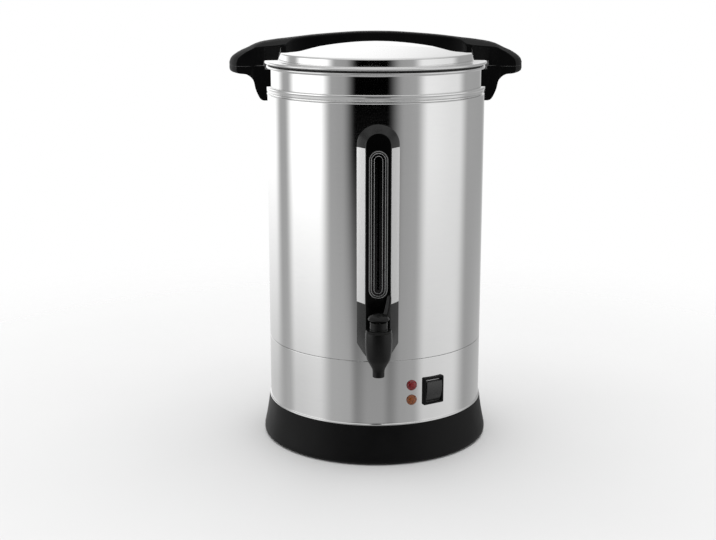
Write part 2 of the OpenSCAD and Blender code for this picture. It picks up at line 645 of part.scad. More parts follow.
module lid_handle() color(black)
    difference() {
        union() {
            intersection() {
                translate([0, 34.5, rim_z]) rotate([90, 0, 0]) linear_extrude(69) polygon([
                    [-167, 2.1], [-167, 4.8], [-166.4, 7.4], [-164.6, 10.4], [-161, 13.4], [-153.6, 17.7], [-146.3, 20.8],
                    [-138, 24.9], [-130, 27.2], [-118, 29.2], [-108, 30.5], [-98, 31.6], [-85.9, 33.2], [-75, 34.6], [-63, 35.7],
                    [-40.8, 37.4], [-20, 38.6], [0, 38.9],
                    [20, 38.6], [40.8, 37.4], [63, 35.7], [75, 34.6], [85.9, 33.2], [98, 31.6], [108, 30.5], [118, 29.2],
                    [130, 27.2], [138, 24.9], [146.3, 20.8], [153.6, 17.7], [161, 13.4], [164.6, 10.4], [166.4, 7.4], [167, 4.8], [167, 2.1],
                    [100, 2.1], [94, 16.4], [86.6, 17.2], [75, 20.1], [63.7, 22.9], [40.8, 26.2], [18, 28.2], [0, 28.7],
                    [-18, 28.2], [-40.8, 26.2], [-63.7, 22.9], [-75, 20.1], [-86.6, 17.2], [-94, 16.4], [-100, 2.1]
                ]);
                translate([0, 0, rim_z]) linear_extrude(60) bow_plan();
            }
            for (s = [-1, 1]) shoulder(s);
        }
        rotate_extrude() polygon([
            [0, rim_z - 10], [ro + 4, rim_z - 10], [ro + 4, lid_z + 1.8], [112, lid_z + 1.8], [112, lid_z + 9],
            [111.2, lid_z + 10.3], [109.2, lid_z + 10.7], [100, lid_z + 11], [75, lid_z + 11.7], [40, lid_z + 12.5], [0, lid_z + 12.8]
        ]);
        for (s = [-1, 1]) translate([s * 101, 0, lid_z]) cylinder(h = 21, r = 2);
    }

module lid_screws() color(steel)
    for (s = [-1, 1]) translate([s * 101, 0, lid_z + 7]) {
        cylinder(h = 2.6, r = 4);
        translate([0, 0, 2.5]) cylinder(h = 11.4, r = 2);
    }

// ---- percolator ----

module pump_stem() color(satin)
    rotate_extrude() union() {
        ring2d(3.2, 4, floor_z - 18.6, rim_z - 11);
        polygon([
            [4, floor_z - 8], [4, floor_z - 9], [21.2, floor_z - 18.9], [22, floor_z - 18.9], [22, floor_z - 18.1], [4.6, floor_z - 7.9]
        ]);
        ring2d(3.9, 9, basket_z - 2.6, basket_z - 0.6);
    }

module coffee_basket() color(satin)
    difference() {
        rotate_extrude() union() {
            polygon([
                [4.6, basket_z], [basket_r - 3, basket_z], [basket_r, basket_z + 3], [basket_r, basket_z + 62],
                [basket_r + 1.6, basket_z + 62], [basket_r + 1.6, basket_z + 62.8], [basket_r - 0.8, basket_z + 62.8],
                [basket_r - 0.8, basket_z + 3.3], [basket_r - 3.3, basket_z + 0.8], [5.4, basket_z + 0.8],
                [5.4, basket_z + 61], [4.6, basket_z + 61]
            ]);
        }
        for (q = [[14, 8], [24, 12], [34, 18], [44, 24], [53, 30]])
            for (i = [0:q[1] - 1]) rotate([0, 0, 360 * i / q[1]]) translate([q[0], 0, basket_z - 1])
                cylinder(h = 3, r = 1.1, $fn = 24);
    }

module basket_cover() color(satin)
    difference() {
        rotate_extrude() union() {
            polygon([
                [4.6, basket_z + 64.6], [12, basket_z + 64.6], [20, basket_z + 63.2], [basket_r + 2, basket_z + 63.2],
                [basket_r + 2, basket_z + 66], [basket_r + 1.2, basket_z + 66], [basket_r + 1.2, basket_z + 64],
                [20.2, basket_z + 64], [12.2, basket_z + 65.4], [4.6, basket_z + 65.4]
            ]);
        }
        for (q = [[26, 12], [36, 18], [46, 24], [55, 30]])
            for (i = [0:q[1] - 1]) rotate([0, 0, 360 * i / q[1]]) translate([q[0], 0, basket_z + 62])
                cylinder(h = 4, r = 1.1, $fn = 24);
    }

foot_ring();
base_ring();
base_plate();
base_screws();
tie_rods();
tie_nuts();
lower_skirt();
outer_shell();
rim_ring();
tank_wall();
tank_floor();
pump_heater();
heater_bar();
heater_nuts();
warm_heater_band();
boil_thermostat();
warm_thermostat();
thermostat_nuts();
thermal_fuse();
fuse_clip();
terminal_block();
wiring();
cord_gland();
gland_nut();
gauge_housing();
gauge_trim_left();
gauge_trim_right();
gauge_lens();
gauge_backing();
gauge_tube();
gauge_tee();
gauge_seal_lower();
gauge_seal_upper();
gauge_screw();
tap_body();
tap_bonnet();
tap_front_washer();
tap_spacer();
tap_seal_inner();
tap_nut();
tap_spring();
valve_stem();
valve_cup();
lever_pin();
tap_lever();
side_handle_left();
side_handle_right();
handle_screws();
red_lamp();
amber_lamp();
lamp_clips();
switch_housing();
switch_rocker();
lid_gasket();
lid_shell();
lid_handle();
lid_screws();
pump_stem();
coffee_basket();
basket_cover();
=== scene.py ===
import math

import bmesh
import bpy
from mathutils import Matrix, Vector


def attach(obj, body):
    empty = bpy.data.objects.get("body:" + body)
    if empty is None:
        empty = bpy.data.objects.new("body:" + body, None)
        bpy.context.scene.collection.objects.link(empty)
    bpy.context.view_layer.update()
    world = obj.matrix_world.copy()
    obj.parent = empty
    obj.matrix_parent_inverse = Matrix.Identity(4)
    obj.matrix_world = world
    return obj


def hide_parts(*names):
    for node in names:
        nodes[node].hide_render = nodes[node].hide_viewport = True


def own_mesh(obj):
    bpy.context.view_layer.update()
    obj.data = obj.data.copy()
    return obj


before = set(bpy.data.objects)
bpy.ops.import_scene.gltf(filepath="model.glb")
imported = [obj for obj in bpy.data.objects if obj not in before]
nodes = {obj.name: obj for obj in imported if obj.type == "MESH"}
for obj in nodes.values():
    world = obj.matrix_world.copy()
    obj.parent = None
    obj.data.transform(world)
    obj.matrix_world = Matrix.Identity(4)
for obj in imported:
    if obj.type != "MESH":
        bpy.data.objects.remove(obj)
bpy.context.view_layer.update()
MM = 0.001
PI = math.pi


# ---------------------------------------------------------------- materials

def new_material(name):
    m = bpy.data.materials.new(name)
    m.use_nodes = True
    n = m.node_tree.nodes
    return m, n, m.node_tree.links, n["Principled BSDF"]


def add(n, kind, **values):
    node = n.new(kind)
    for k, v in values.items():
        setattr(node, k, v)
    return node


def noise(n, l, scale, detail=3.0, stretch=(1, 1, 1), rough=0.5):
    """Noise in the object's own coordinates, stretched along an axis"""
    tc = add(n, "ShaderNodeTexCoord")
    mp = add(n, "ShaderNodeMapping")
    mp.inputs["Scale"].default_value = stretch
    l.new(tc.outputs["Object"], mp.inputs["Vector"])
    t = add(n, "ShaderNodeTexNoise")
    t.inputs["Scale"].default_value = scale
    t.inputs["Detail"].default_value = detail
    t.inputs["Roughness"].default_value = rough
    l.new(mp.outputs["Vector"], t.inputs["Vector"])
    return t.outputs["Fac"]


def ranged(n, l, source, low, high, a=0.3, b=0.7):
    r = add(n, "ShaderNodeMapRange")
    r.inputs["From Min"].default_value = a
    r.inputs["From Max"].default_value = b
    r.inputs["To Min"].default_value = low
    r.inputs["To Max"].default_value = high
    l.new(source, r.inputs["Value"])
    return r.outputs["Result"]


def shades(n, l, source, first, second, a=0.3, b=0.7):
    r = add(n, "ShaderNodeValToRGB")
    r.color_ramp.elements[0].position = a
    r.color_ramp.elements[1].position = b
    r.color_ramp.elements[0].color = (*first, 1)
    r.color_ramp.elements[1].color = (*second, 1)
    l.new(source, r.inputs["Fac"])
    return r.outputs["Color"]


def bumped(n, l, source, bsdf, strength, distance):
    b = add(n, "ShaderNodeBump")
    b.inputs["Strength"].default_value = strength
    b.inputs["Distance"].default_value = distance
    l.new(source, b.inputs["Height"])
    l.new(b.outputs["Normal"], bsdf.inputs["Normal"])
    return b


def steel(name, tone=0.80, rough=(0.10, 0.16), aniso=0.0, rotation=0.0, grain=(1, 1, 60), bump=0.02):
    """Polished sheet steel with a faint directional grain"""
    m, n, l, b = new_material(name)
    f = noise(n, l, 60, 4, grain)
    l.new(shades(n, l, f, (tone - 0.015,) * 3, (tone + 0.012, tone + 0.012, tone + 0.008)), b.inputs["Base Color"])
    l.new(ranged(n, l, f, *rough), b.inputs["Roughness"])
    b.inputs["Metallic"].default_value = 1.0
    if aniso:
        b.inputs["Anisotropic"].default_value = aniso
        b.inputs["Anisotropic Rotation"].default_value = rotation
        t = add(n, "ShaderNodeTangent", direction_type="RADIAL", axis="Z")
        l.new(t.outputs["Tangent"], b.inputs["Tangent"])
    if bump:
        bumped(n, l, f, b, bump, 0.0002)
    return m


def plastic(name, color, rough=(0.42, 0.52), grain=2200, bump=0.12, spec=0.5, coat=0.0):
    """Moulded plastic with a fine satin texture"""
    m, n, l, b = new_material(name)
    broad = noise(n, l, 35, 3)
    fine = noise(n, l, grain, 2)
    dark = tuple(c * 0.85 for c in color)
    light = tuple(min(1, c * 1.15 + 0.001) for c in color)
    l.new(shades(n, l, broad, dark, light), b.inputs["Base Color"])
    l.new(ranged(n, l, broad, *rough), b.inputs["Roughness"])
    b.inputs["Specular IOR Level"].default_value = spec
    if coat:
        b.inputs["Coat Weight"].default_value = coat
        b.inputs["Coat Roughness"].default_value = 0.08
    bumped(n, l, fine, b, bump, 0.0001)
    return m


def clear(name, color=(0.93, 0.95, 0.96), rough=0.03, ior=1.49):
    m, n, l, b = new_material(name)
    f = noise(n, l, 40, 2)
    l.new(shades(n, l, f, tuple(c * 0.98 for c in color), color), b.inputs["Base Color"])
    l.new(ranged(n, l, f, rough, rough + 0.02), b.inputs["Roughness"])
    b.inputs["Transmission Weight"].default_value = 1.0
    b.inputs["IOR"].default_value = ior
    return m


def lens(name, deep, bright):
    """Tinted translucent lamp lens with moulded facets behind it"""
    m, n, l, b = new_material(name)
    tc = add(n, "ShaderNodeTexCoord")
    v = add(n, "ShaderNodeTexVoronoi", feature="F1")
    v.inputs["Scale"].default_value = 420
    l.new(tc.outputs["Object"], v.inputs["Vector"])
    l.new(shades(n, l, v.outputs["Distance"], deep, bright, 0.0, 0.6), b.inputs["Base Color"])
    b.inputs["Roughness"].default_value = 0.16
    b.inputs["Transmission Weight"].default_value = 0.25
    b.inputs["IOR"].default_value = 1.5
    b.inputs["Coat Weight"].default_value = 0.3
    b.inputs["Coat Roughness"].default_value = 0.05
    bumped(n, l, v.outputs["Distance"], b, 0.25, 0.0004)
    return m


M = {
    "body_steel": steel("body_steel", 0.80, (0.06, 0.09), 0.4, 0.25, (1, 1, 40), 0.0),
    "lid_steel": steel("lid_steel", 0.80, (0.07, 0.11), 0.0, 0.0, (1, 1, 1), 0.0),
    "collar_steel": steel("collar_steel", 0.80, (0.05, 0.08), 0.3, 0.25, (1, 1, 40), 0.0),
    "bead_steel": steel("bead_steel", 0.82, (0.08, 0.12), 0.0, 0.0, (1, 1, 1), 0.0),
    "zinc": steel("zinc_steel", 0.62, (0.30, 0.42), 0.0, 0.0, (1, 1, 1), 0.05),
    "aluminium": steel("satin_aluminium", 0.80, (0.34, 0.42), 0.6, 0.0, (30, 30, 1), 0.05),
    "spun": steel("spun_aluminium", 0.78, (0.30, 0.38), 0.5, 0.25, (1, 1, 50), 0.04),
    "black": plastic("plastic_black", (0.0038, 0.0038, 0.0040), (0.42, 0.52), 2200, 0.10, 0.13),
    "handle": plastic("handle_black", (0.003, 0.003, 0.0032), (0.44, 0.54), 2200, 0.10, 0.075),
    "tap_black": plastic("tap_black", (0.004, 0.004, 0.004), (0.26, 0.34), 1600, 0.05, 0.24),
    "gauge_black": plastic("gauge_black", (0.005, 0.005, 0.005), (0.24, 0.32), 2000, 0.05, 0.40),
    "gauge_face": plastic("gauge_face_black", (0.0014, 0.0014, 0.0014), (0.12, 0.18), 2000, 0.03, 0.12),
    # the lid gasket is a real part, but its dark grey is painted shade: it stands in for the shaded gap under the lid's
    # rim
    "gasket": plastic("gasket_painted_shade", (0.045, 0.045, 0.045), (0.5, 0.6), 700, 0.08, 0.3),
    "gloss": plastic("gloss_black", (0.016, 0.016, 0.016), (0.20, 0.28), 900, 0.03, 0.5, 0.2),
    "rubber": plastic("rubber_black", (0.020, 0.020, 0.020), (0.70, 0.82), 900, 0.2, 0.3),
    "silicone": plastic("silicone_cream", (0.72, 0.69, 0.61), (0.5, 0.6), 700, 0.08, 0.4),
    "ceramic": plastic("ceramic_cream", (0.70, 0.66, 0.57), (0.18, 0.26), 500, 0.04, 0.5),
    "wire": plastic("wire_red", (0.45, 0.03, 0.025), (0.32, 0.40), 500, 0.04, 0.5),
    "clear": clear("clear_plastic"),
    "smoked": clear("smoked_clear", (0.20, 0.205, 0.21), 0.03, 1.49),
    "lip": steel("window_lip", 0.58, (0.16, 0.22), 0.0, 0.0, (1, 1, 1), 0.0),
    "key": plastic("key_black", (0.022, 0.022, 0.022), (0.22, 0.30), 900, 0.03, 0.5, 0.1),
    "tube": clear("clear_tube", (0.90, 0.94, 0.93), 0.02, 1.47),
    "red": lens("lamp_red", (0.10, 0.003, 0.005), (0.27, 0.007, 0.012)),
    "amber": lens("lamp_amber", (0.13, 0.030, 0.007), (0.32, 0.085, 0.016)),
}

NODE_MATERIAL = {
    "foot_ring": "rubber", "base_ring": "black", "base_plate": "zinc", "base_screws": "zinc", "tie_rods": "zinc",
    "tie_nuts": "zinc", "lower_skirt": "body_steel", "outer_shell": "body_steel", "rim_ring": "bead_steel",
    "tank_wall": "collar_steel", "tank_floor": "collar_steel", "pump_heater": "zinc", "heater_bar": "zinc", "heater_nuts": "zinc",
    "warm_heater_band": "zinc", "boil_thermostat": "zinc", "warm_thermostat": "zinc", "thermostat_nuts": "zinc",
    "thermal_fuse": "ceramic", "fuse_clip": "zinc", "terminal_block": "ceramic", "wiring": "wire", "cord_gland": "black",
    "gland_nut": "black", "gauge_housing": "gauge_black", "gauge_trim_left": "aluminium", "gauge_trim_right": "aluminium",
    "gauge_lens": "clear", "gauge_backing": "gauge_black", "gauge_tube": "tube", "gauge_tee": "gauge_black",
    "gauge_seal_lower": "rubber", "gauge_seal_upper": "rubber", "gauge_screw": "zinc", "tap_body": "tap_black",
    "tap_bonnet": "tap_black", "tap_front_washer": "rubber", "tap_spacer": "rubber", "tap_seal_inner": "silicone",
    "tap_nut": "zinc", "tap_spring": "zinc", "valve_stem": "zinc", "valve_cup": "silicone", "lever_pin": "zinc",
    "tap_lever": "tap_black", "side_handle_left": "handle", "side_handle_right": "handle", "handle_screws": "zinc",
    "red_lamp": "red", "amber_lamp": "amber", "lamp_clips": "zinc", "switch_housing": "black", "switch_rocker": "gloss",
    "lid_gasket": "gasket", "lid_shell": "lid_steel", "lid_handle": "handle", "lid_screws": "zinc",
    "pump_stem": "spun", "coffee_basket": "spun", "basket_cover": "spun",
}
for name, o in nodes.items():
    o.data.materials.clear()
    o.data.materials.append(M[NODE_MATERIAL[name]])


# ---------------------------------------------------------------- mesh tools

def rounded(corners, steps=5):
    """Outline with its corners rounded. A corner is (x, y) or (x, y, radius); open ends are kept."""
    out = []
    last = len(corners) - 1
    for i, c in enumerate(corners):
        p = Vector(c[:2])
        r = c[2] if len(c) > 2 else 0
        if not r or i in (0, last):
            out.append((p.x, p.y))
            continue
        a, b = Vector(corners[i - 1][:2]) - p, Vector(corners[i + 1][:2]) - p
        la, lb = a.length, b.length
        a, b = a / la, b / lb
        half = math.acos(max(-1, min(1, a.dot(b)))) / 2
        if half > PI / 2 - 0.01:
            out.append((p.x, p.y))
            continue
        cut = min(r / math.tan(half), 0.49 * la, 0.49 * lb)
        r = cut * math.tan(half)
        centre = p + (a + b).normalized() * (r / math.sin(half))
        s, e = p + a * cut - centre, p + b * cut - centre
        t0, t1 = math.atan2(s.y, s.x), math.atan2(e.y, e.x)
        while t1 - t0 > PI:
            t1 -= 2 * PI
        while t1 - t0 < -PI:
            t1 += 2 * PI
        for k in range(steps + 1):
            t = t0 + (t1 - t0) * k / steps
            out.append((centre.x + r * math.cos(t), centre.y + r * math.sin(t)))
    return out


def smooth(points, steps=5):
    """A smooth curve through the points"""
    out = []
    last = len(points) - 1
    for i in range(last):
        p0, p1, p2, p3 = (points[max(i - 1, 0)], points[i], points[i + 1], points[min(i + 2, last)])
        for k in range(steps):
            t = k / steps
            out.append(tuple(
                0.5 * (2 * b + (c - a) * t + (2 * a - 5 * b + 4 * c - d) * t * t + (3 * b - a - 3 * c + d) * t ** 3)
                for a, b, c, d in zip(p0, p1, p2, p3)))
    out.append(tuple(points[-1]))
    return out


def along(points, t):
    """The place a fraction t of the way along a line through the points"""
    lengths = [math.dist(a, b) for a, b in zip(points, points[1:])]
    want = t * sum(lengths)
    for a, b, d in zip(points, points[1:], lengths):
        if want <= d or b is points[-1]:
            f = min(1, want / d)
            return tuple(x + (y - x) * f for x, y in zip(a, b))
        want -= d


def arc(cx, cy, r, start, end, step=15):
    """Points round a circle, angles in degrees"""
    n = max(2, round(abs(end - start) / step))
    return [(cx + r * math.cos(math.radians(start + (end - start) * k / n)),
             cy + r * math.sin(math.radians(start + (end - start) * k / n))) for k in range(n + 1)]


def guarded(points, closed, gap=0.4, least=2.0):
    """Adds a point near both ends of each long straight stretch, so that it is shaded flat"""
    out = []
    n = len(points)
    for i, p in enumerate(points):
        out.append(p)
        if i == n - 1 and not closed:
            break
        q = points[(i + 1) % n]
        d = math.dist(p, q)
        if d > least and not (p[0] < 1e-6 and q[0] < 1e-6):
            for t in (gap / d, 1 - gap / d):
                out.append((p[0] + (q[0] - p[0]) * t, p[1] + (q[1] - p[1]) * t))
    return out


def finish_mesh(bm, name, material, sharp=None):
    bmesh.ops.remove_doubles(bm, verts=bm.verts, dist=1e-7)
    bmesh.ops.recalc_face_normals(bm, faces=bm.faces)
    me = bpy.data.meshes.new(name)
    bm.to_mesh(me)
    bm.free()
    me.shade_smooth()
    if sharp:
        me.set_sharp_from_angle(angle=math.radians(sharp))
    me.materials.append(M[material])
    o = bpy.data.objects.new(name, me)
    bpy.context.scene.collection.objects.link(o)
    return o


def lathe(name, profile, material, segments=192, origin=(0, 0), sharp=35, closed=True):
    """Revolves a closed outline of (radius, height) in millimetres about the upright axis through origin"""
    bm = bmesh.new()
    rings = []
    for r, z in guarded(profile, closed):
        if r < 1e-6:
            rings.append([bm.verts.new((origin[0] * MM, origin[1] * MM, z * MM))])
        else:
            rings.append([
                bm.verts.new(((origin[0] + r * math.sin(2 * PI * k / segments)) * MM,
                              (origin[1] - r * math.cos(2 * PI * k / segments)) * MM, z * MM))
                for k in range(segments)])
    count = len(rings)
    for i in range(count if closed else count - 1):
        a, b = rings[i], rings[(i + 1) % count]
        for k in range(segments):
            k2 = (k + 1) % segments
            if len(a) == 1 and len(b) == 1:
                break
            if len(a) == 1:
                bm.faces.new((a[0], b[k], b[k2]))
            elif len(b) == 1:
                bm.faces.new((a[k], b[0], a[k2]))
            else:
                bm.faces.new((a[k], b[k], b[k2], a[k2]))
    return finish_mesh(bm, name, material, sharp)


def stack(name, loops, material, ends="caps", sharp=35, bands=None):
    """Joins loops that have the same number of points, each a list of (x, y, z) in millimetres.
    Its ends are closed with caps or joined to one another. bands gives another material for the strips from
    one loop number to another."""
    bm = bmesh.new()
    made = [[bm.verts.new((x * MM, y * MM, z * MM)) for x, y, z in loop] for loop in loops]
    n = len(made[0])
    pairs = list(zip(made, made[1:]))
    if ends == "joined":
        pairs.append((made[-1], made[0]))
    for i, (a, b) in enumerate(pairs):
        other = any(first <= i < last for first, last in (bands[1] if bands else []))
        for k in range(n):
            k2 = (k + 1) % n
            f = bm.faces.new((a[k], b[k], b[k2], a[k2]))
            f.material_index = 1 if other else 0
    if ends == "caps":
        bm.faces.new(made[0])
        bm.faces.new(made[-1])
    o = finish_mesh(bm, name, material, sharp)
    if bands:
        o.data.materials.append(M[bands[0]])
    return o


def block(name, point, nu, nv, nw, material, bevel=2.0, segments=4, weight=None, sharp=35):
    """A box-shaped net of faces: point(u, v, w) gives each place in millimetres, for u, v and w from 0 to 1.
    Its twelve edges are rounded off."""
    bm = bmesh.new()
    grid = {}

    def vert(i, j, k):
        key = (i, j, k)
        if key not in grid:
            x, y, z = point(i / nu, j / nv, k / nw)
            grid[key] = bm.verts.new((x * MM, y * MM, z * MM))
        return grid[key]

    for i in range(nu):
        for j in range(nv):
            for k in (0, nw):
                bm.faces.new((vert(i, j, k), vert(i + 1, j, k), vert(i + 1, j + 1, k), vert(i, j + 1, k)))
    for i in range(nu):
        for k in range(nw):
            for j in (0, nv):
                bm.faces.new((vert(i, j, k), vert(i + 1, j, k), vert(i + 1, j, k + 1), vert(i, j, k + 1)))
    for j in range(nv):
        for k in range(nw):
            for i in (0, nu):
                bm.faces.new((vert(i, j, k), vert(i, j + 1, k), vert(i, j + 1, k + 1), vert(i, j, k + 1)))
    layer = bm.edges.layers.float.new("bevel_weight_edge")
    for key, v in grid.items():
        for axis in range(3):
            nxt = list(key)
            nxt[axis] += 1
            other = grid.get(tuple(nxt))
            if other is None:
                continue
            fixed = [key[t] in (0, (nu, nv, nw)[t]) for t in range(3) if t != axis]
            if all(fixed):
                e = bm.edges.get((v, other))
                if e is not None:
                    u = [(key[t] + (0.5 if t == axis else 0)) / (nu, nv, nw)[t] for t in range(3)]
                    e[layer] = weight(*u) if weight else 1.0
    o = finish_mesh(bm, name, material, sharp)
    if bevel:
        m = o.modifiers.new("round", "BEVEL")
        m.width = bevel * MM
        m.segments = segments
        m.limit_method = "WEIGHT"
        m.use_clamp_overlap = True
        m.harden_normals = True
    return o


def moved(o, matrix):
    """Moves the vertices themselves, so that the object stays at the origin"""
    o.data.transform(matrix)
    return o


def joined(first, *others):
    """Puts the meshes of several objects into the first"""
    bm = bmesh.new()
    for o in (first, *others):
        bm.from_mesh(o.data)
    bm.to_mesh(first.data)
    bm.free()
    first.data.shade_smooth()
    first.data.set_sharp_from_angle(angle=math.radians(35))
    for o in others:
        bpy.data.objects.remove(o)
    return first


def box(name, low, high, material):
    """A plain box between two corners in millimetres"""
    return block(name, lambda u, v, w: tuple(a + (b - a) * t for a, b, t in zip(low, high, (u, v, w))),
                 1, 1, 1, material, bevel=0, sharp=30)


FORWARD = Matrix.Rotation(PI / 2, 4, "X")       # stands a lathed piece's axis along -Y


def at_azimuth(degrees):
    return Matrix.Rotation(math.radians(degrees), 4, "Z")


def place(o, body, slot, *stands_for):
    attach(o, body)
    if stands_for:
        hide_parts(*stands_for)
    return o


# ---------------------------------------------------------------- steel body

RO, RI, NECK, TANK, RIM, LID = 125.0, 124.2, 121.0, 117.0, 435.0, 440.6
TAP_Y, GY = -163.0, -137.0

shell = lathe("outer_shell_sheet", rounded([
    (RI, 262), (RI, 120.8), (RI, 120.4, 0.2), (RO, 120.4, 0.45), (RO, 160), (RO, 240), (RO, 320), (RO, 380),
    (RO, 404.6, 1.0), (RI - 2.6, 404.6, 0.2), (RI - 2.6, 403.8, 0.1), (RI, 403.8, 0.3), (RI, 262)]), "body_steel", 256)
place(shell, "urn", "polished_steel", "outer_shell")

skirt = lathe("lower_skirt_sheet", rounded([
    (RI, 80), (RI, 45.4), (RI, 44.9, 0.2), (RO + 0.2, 44.9, 0.15),
    (RO + 1.25, 45.05, 0.5), (RO + 1.25, 46.5, 0.6), (RO, 47.0, 0.25), (RO, 48.6), (RO, 70), (RO, 95),
    (RO, 120.0, 0.45), (RI - 0.2, 120.0, 0.1), (RI - 0.3, 128.2, 0.2), (RI - 1.1, 128.2, 0.2),
    (RI - 1.1, 115.4, 0.2), (RI, 115.2, 0.1), (RI, 80)]), "body_steel", 256)
place(skirt, "urn", "polished_steel", "lower_skirt")

rim = lathe("rim_ring_turned", rounded([
    (121.15, 409), (121.15, 404.7, 0.1), (122.5, 404.7, 0.1), (122.5, 406.3, 0.3), (124.4, 407.2, 0.7),
    (124.8, 410.1, 0.8), (125.7, 411.1, 0.7), (125.6, 412.7, 0.7), (124.3, 413.3, 0.4), (121.15, 413.3, 0.1),
    (121.15, 409)]), "bead_steel", 256)
place(rim, "urn", "polished_steel", "rim_ring")

tank = lathe("tank_wall_drawn", rounded([
    (TANK, 200), (TANK, 402, 6), (NECK, 408, 6), (NECK, 432.6, 1.6)])
    + arc(123.4, RIM, 1.6, -150, 150) + rounded([
        (121.3, 435.7), (120.2, 434.4, 1.5), (120.2, 408.3, 6), (116.2, 402.3, 6), (116.2, 200), (116.2, 128.2),
        (TANK, 128.2), (TANK, 200)])[:-1], "collar_steel", 256)
place(tank, "urn", "polished_steel", "tank_wall")

tank_floor = lathe("tank_floor_pressed", rounded([
    (0, 103.2), (26, 103.2, 2.4), (26, 123.2, 2.0), (TANK, 123.2, 4.6), (TANK, 128.2), (116.2, 128.2), (116.2, 124, 3.8),
    (25.2, 124, 2.8), (25.2, 104, 1.6), (0, 104)]), "collar_steel", 192)
studs = [lathe("stud", [(0, 94.7), (1.8, 94.7), (2, 95), (2, 123.4), (0, 123.4)], "zinc", 24, (x, 0)) for x in (-44, 44)]
studs += [lathe("stud", [(0, 114.2), (1.6, 114.2), (1.75, 114.4), (1.75, 123.4), (0, 123.4)], "zinc", 24, (x, 36))
          for x in (-77, -47, 47, 77)]
place(joined(tank_floor, *studs), "urn", "polished_steel", "tank_floor")

base = lathe("base_ring_moulded", rounded(
    [(112, 2.0), (132.9, 2.0, 2.6)] + smooth([(133.0, 5.4), (132.6, 9), (130.9, 17), (128.7, 29), (127.2, 39), (126.7, 43.6)], 4)
    + [(126.5, 44.9, 0.7), (123.8, 44.9, 0.1), (123.8, 51.9, 0.4), (121.8, 51.9, 0.4), (121.8, 41.9, 1), (124.4, 39.4, 1),
       (126.2, 29), (128.2, 17), (129.8, 8), (130, 4.6, 0.3), (104, 4.6, 0.3), (104, 2.0, 0.3), (112, 2.0)]), "black", 256)
place(base, "urn", "plastic_black", "base_ring")

# ---------------------------------------------------------------- lid

lid = lathe("lid_shell_pressed", rounded(
    [(0, 453.0)] + smooth([(20, 452.95), (45, 452.6), (75, 452.0), (98, 451.2), (107, 450.7)], 4)
    + [(111.6, 450.5, 1.9), (111.6, 441.2, 1.2), (114, 440.5)])[:-1] + [(118, 440.6), (123.4, 440.9)]
    + arc(125.5, 440.0, 1.4, 125, -168) + rounded([
        (123.2, 439.8), (117, 439.8, 0.4), (117, 431, 0.2), (116.2, 431, 0.2), (116.2, 439.8, 0.5), (111.9, 439.8, 0.8),
        (110.8, 441.2, 0.8), (110.8, 449.6, 1.2), (107, 449.9), (98, 450.4), (75, 451.2), (45, 451.8), (0, 452.2)]),
    "lid_steel", 256)
place(lid, "lid", "polished_steel", "lid_shell")

# ---------------------------------------------------------------- handles

def table(points, x):
    """Reads a smooth curve through points, which go upwards in x"""
    curve = smooth(points, 8)
    for (x0, y0), (x1, y1) in zip(curve, curve[1:]):
        if x <= x1 and x1 > x0:
            return y0 + (y1 - y0) * max(0, x - x0) / (x1 - x0)
    return curve[-1][1]


COLUMNS = [0, 8, 16, 24, 32, 40, 48, 56, 64, 72, 79, 85, 90, 94, 98, 102, 106, 111.9, 112.1, 116, 120, 124.5, 128.9, 129.1,
           133, 137, 141, 145, 149, 153, 157, 160.5, 163.5, 165.6, 166.9]
COLUMNS = [-x for x in COLUMNS[:0:-1]] + COLUMNS
BOW_TOP = [(0, 473.9), (20, 473.6), (40.8, 472.4), (63, 470.7), (75, 469.6), (85.9, 468.2), (98, 466.6), (108, 465.5),
           (118, 464.2), (130, 462.2), (138, 459.9), (146.3, 455.8), (153.6, 452.7), (161, 448.4), (164.6, 445.4),
           (166.4, 442.4), (166.9, 440.4)]
BOW_UNDER = [(0, 463.7), (18, 463.2), (40.8, 461.2), (63.7, 457.9), (75, 455.1), (85, 452.6), (92, 451.8)]
BOW_HALF = [(0, 14), (60, 14), (80, 14.2), (86, 15.5), (92, 19), (97, 23), (102, 28.5), (106, 32.4), (112, 34), (167, 34)]
BOW_CROWN = [(0, 14), (60, 14), (100, 15), (118, 16.5), (130, 21), (138, 27.5), (144, 34), (167, 34)]


def bow_point(u, v, w):
    x = COLUMNS[round(u * (len(COLUMNS) - 1))]
    a = abs(x)
    half, crown = table(BOW_HALF, a), table(BOW_CROWN, a)
    # below the lid's rim the ends are no wider than their crown
    low_half = crown if a > 112 else half
    y = (low_half + (half - low_half) * w) * (2 * v - 1)
    if a <= 94:
        drop = 0
    elif a <= 129:
        drop = min(1, (a - 94) / 10) * (a - math.sqrt(a * a - y * y))
    else:
        k = (a - 129.1) / 37.8
        drop = (1 - k) * (129.1 - math.sqrt(129.1 ** 2 - y * y)) + k * (60 - math.sqrt(3600 - y * y))
    if a <= 92:
        under = table(BOW_UNDER, a)
    elif a < 112:
        under = 451.8
    elif a < 129:
        under = 442.4
    else:
        under = 437.0
    top = table(BOW_TOP, a) + 0.35 * (1 - (2 * v - 1) ** 2) * min(1, (167 - a) / 12) - 0.26 * max(0, half * abs(2 * v - 1) - crown)
    return math.copysign(a - drop, x), y, under + (top - under) * w


def bow_weight(u, v, w):
    x = u * (len(COLUMNS) - 1)
    i = min(int(x), len(COLUMNS) - 2)
    a = abs(COLUMNS[i] + (COLUMNS[i + 1] - COLUMNS[i]) * (x - i))
    if u in (0.0, 1.0):
        return 0.10
    if w == 1.0:
        return 1.0 if a < 105 else max(0.12, 1.0 - (a - 105) / 66)
    if a < 90:
        return 0.45
    return 0 if a < 130 else max(0.10, 0.4 - (a - 130) / 110)


bow = block("lid_handle_moulded", bow_point, len(COLUMNS) - 1, 10, 1, "handle", 3.2, 5, bow_weight)
place(bow, "lid", "plastic_black", "lid_handle")
handle_pieces = [bow]

